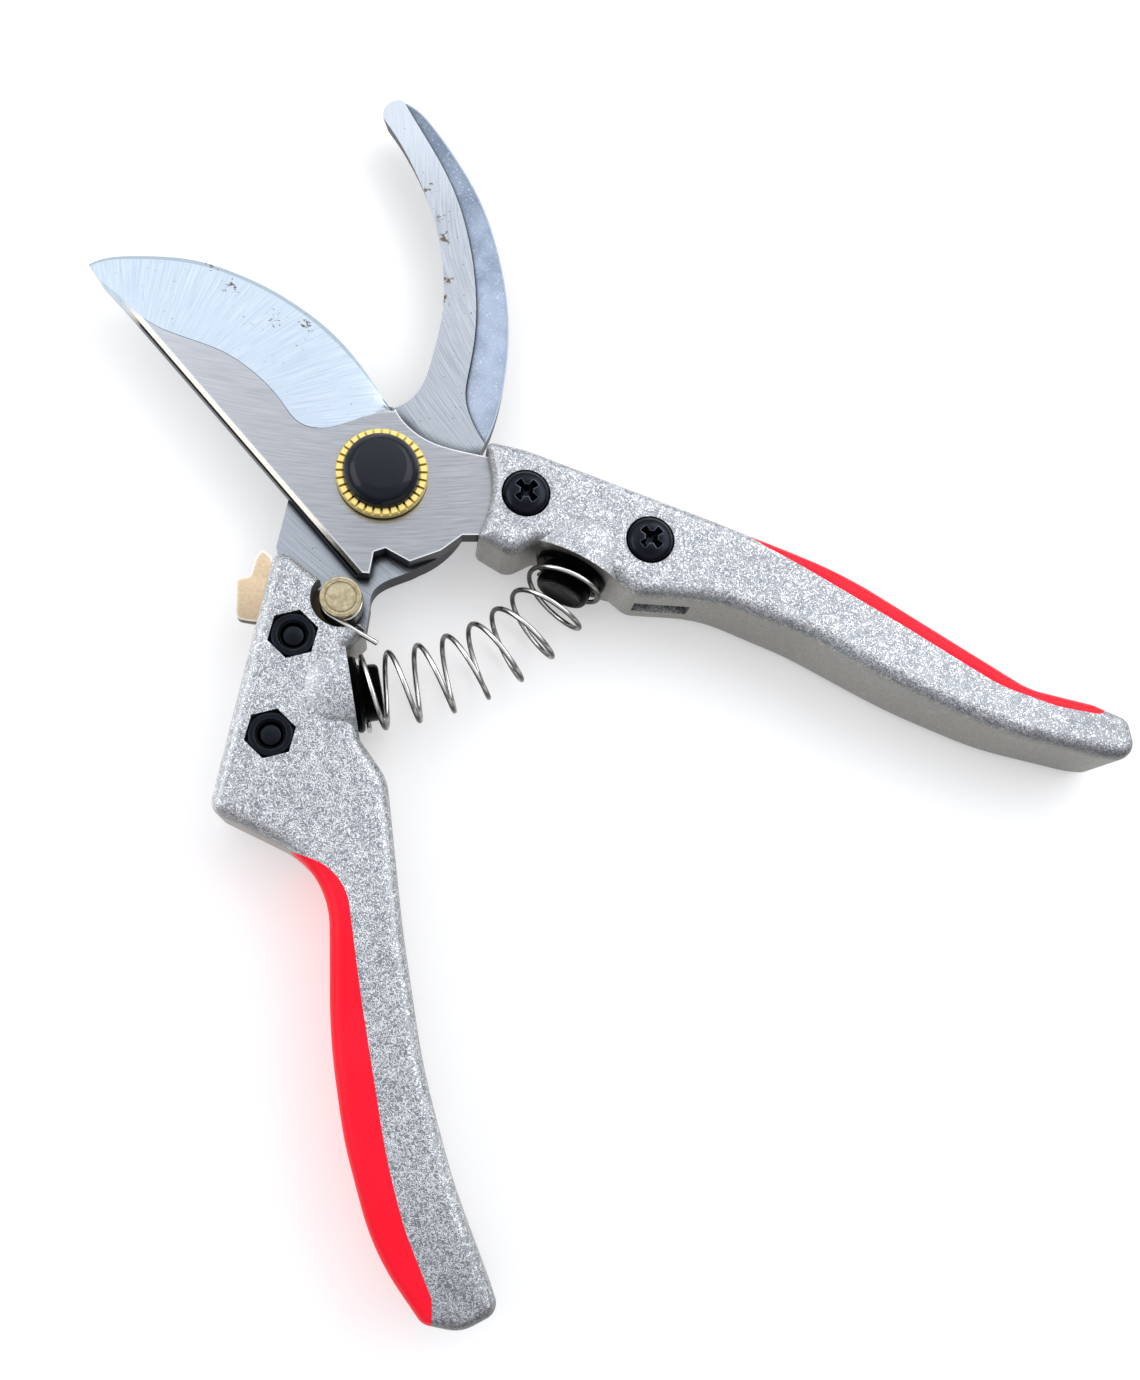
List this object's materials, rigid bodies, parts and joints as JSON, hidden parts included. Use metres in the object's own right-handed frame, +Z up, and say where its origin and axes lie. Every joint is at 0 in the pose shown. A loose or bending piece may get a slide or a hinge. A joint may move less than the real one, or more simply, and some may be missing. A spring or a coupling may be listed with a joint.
{
  "type": "pruning shears",
  "caption": "Open bypass pruning shears with a curved cutting blade, hook blade, wire return spring, thumb lock and red padded handles.",
  "frame": {"origin": "on the pivot axis, at the flat underside of the pivot bolt's head, with the shears lying flat and open", "axes": "+Z up along the pivot axis, out of the flat of the shears; +Y from the pivot towards the jaws"},
  "size_m": [0.1756, 0.2071, 0.0152],
  "materials": {
    "hook_steel": "brushed, blasted outer strip",
    "blade_steel": "ground and brushed",
    "hammered_silver": "hammertone paint on die-cast aluminium",
    "red_grip": "smooth soft pad",
    "black_screw": "black oxide",
    "black_nut": "black oxide",
    "black_plastic": "moulded",
    "bolt_steel": "turned",
    "nickel": "champagne nickel plate",
    "spring_wire": "bright drawn wire",
    "gold_ring": "gold zinc plate",
    "black_cap": "black oxide, satin"
  },
  "bodies": {
    "left_half": {"hook_blade": "hook_steel", "left_handle": "hammered_silver", "left_grip": "red_grip", "left_screw_front": "black_screw", "left_screw_rear": "black_screw", "left_nut_front": "black_nut", "left_nut_rear": "black_nut", "left_spring_seat": "black_plastic", "pivot_bolt": "bolt_steel", "lock_rivet": "nickel", "lock_collar": "nickel", "lock_spring": "spring_wire", "main_spring": "spring_wire"},
    "latch": {"lock_latch": "nickel"},
    "right_half": {"cutting_blade": "blade_steel", "right_handle": "hammered_silver", "right_grip": "red_grip", "right_screw_front": "black_screw", "right_screw_rear": "black_screw", "right_nut_front": "black_nut", "right_nut_rear": "black_nut", "right_spring_seat": "black_plastic"},
    "adjuster": {"friction_washer": "bolt_steel", "adjusting_ring": "gold_ring", "pivot_cap": "black_cap"}
  },
  "joints": [
    {"name": "close", "type": "hinge", "parent": "left_half", "child": "right_half", "pos_m": [0, 0, 0.009], "axis": [0, 0, -1], "range_deg": [0, 57], "stiffness_Nm_per_rad": 0.35, "springref_deg": -20.05, "deforming": ["main_spring"]},
    {"name": "lock", "type": "hinge", "parent": "left_half", "child": "latch", "pos_m": [-0.0064, -0.0223, 0.0083], "axis": [0, 0, -1], "range_deg": [0, 28]},
    {"name": "adjust_tension", "type": "hinge", "parent": "left_half", "child": "adjuster", "pos_m": [0, 0, 0.012], "axis": [0, 0, 1], "range_deg": [-45, 45]}
  ]
}
